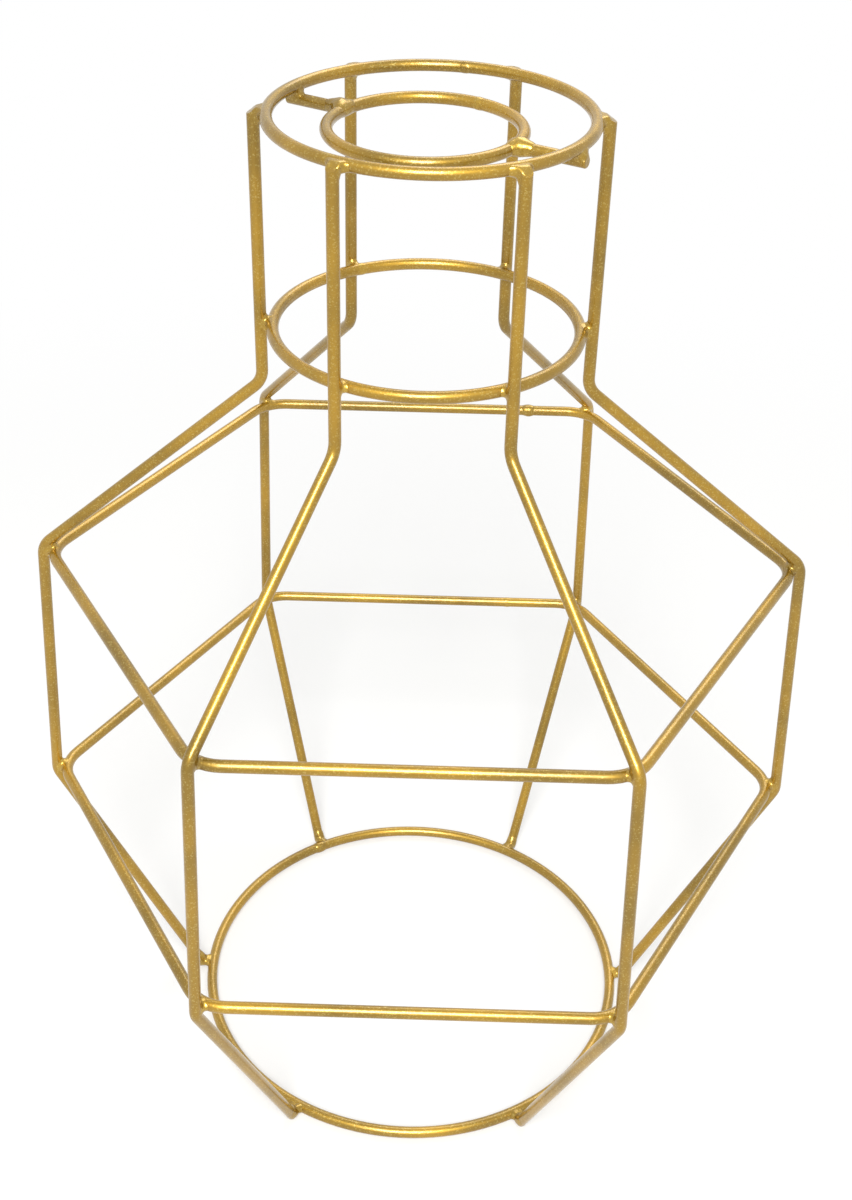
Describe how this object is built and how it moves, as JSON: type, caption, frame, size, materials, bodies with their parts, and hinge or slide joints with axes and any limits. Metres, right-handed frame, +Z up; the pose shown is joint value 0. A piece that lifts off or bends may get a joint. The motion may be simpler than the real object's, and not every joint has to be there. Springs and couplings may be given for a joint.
{
  "type": "wire cage lampshade",
  "caption": "Open cage lampshade of bent steel wire: a narrow neck flares to wide hexagonal shoulders and tapers to a small bottom ring, with an off-centre ring for the lamp holder in the neck.",
  "frame": {"origin": "the centre of the bottom ring's bounding box, on the plane that the shade stands on", "axes": "+Z up along the shade's axis; +X through rib_1, which is at the right in the picture; +Y away from the viewer"},
  "size_m": [0.2062, 0.179, 0.272],
  "materials": {
    "painted_wire": "satin gold paint with a fine speckle on round steel wire",
    "painted_weld": "the same satin gold paint over the weld beads, a little brighter where it pools"
  },
  "bodies": {
    "root": {"rib_1": "painted_wire", "rib_2": "painted_wire", "rib_3": "painted_wire", "rib_4": "painted_wire", "rib_5": "painted_wire", "rib_6": "painted_wire", "top_ring": "painted_wire", "neck_ring": "painted_wire", "upper_hexagon": "painted_wire", "lower_hexagon": "painted_wire", "bottom_ring": "painted_wire", "holder_ring": "painted_wire", "holder_strut_left": "painted_wire", "holder_strut_right": "painted_wire", "top_ring_welds": "painted_weld", "neck_ring_welds": "painted_weld", "upper_hexagon_welds": "painted_weld", "lower_hexagon_welds": "painted_weld", "bottom_ring_welds": "painted_weld", "holder_strut_welds": "painted_weld"}
  },
  "joints": []
}
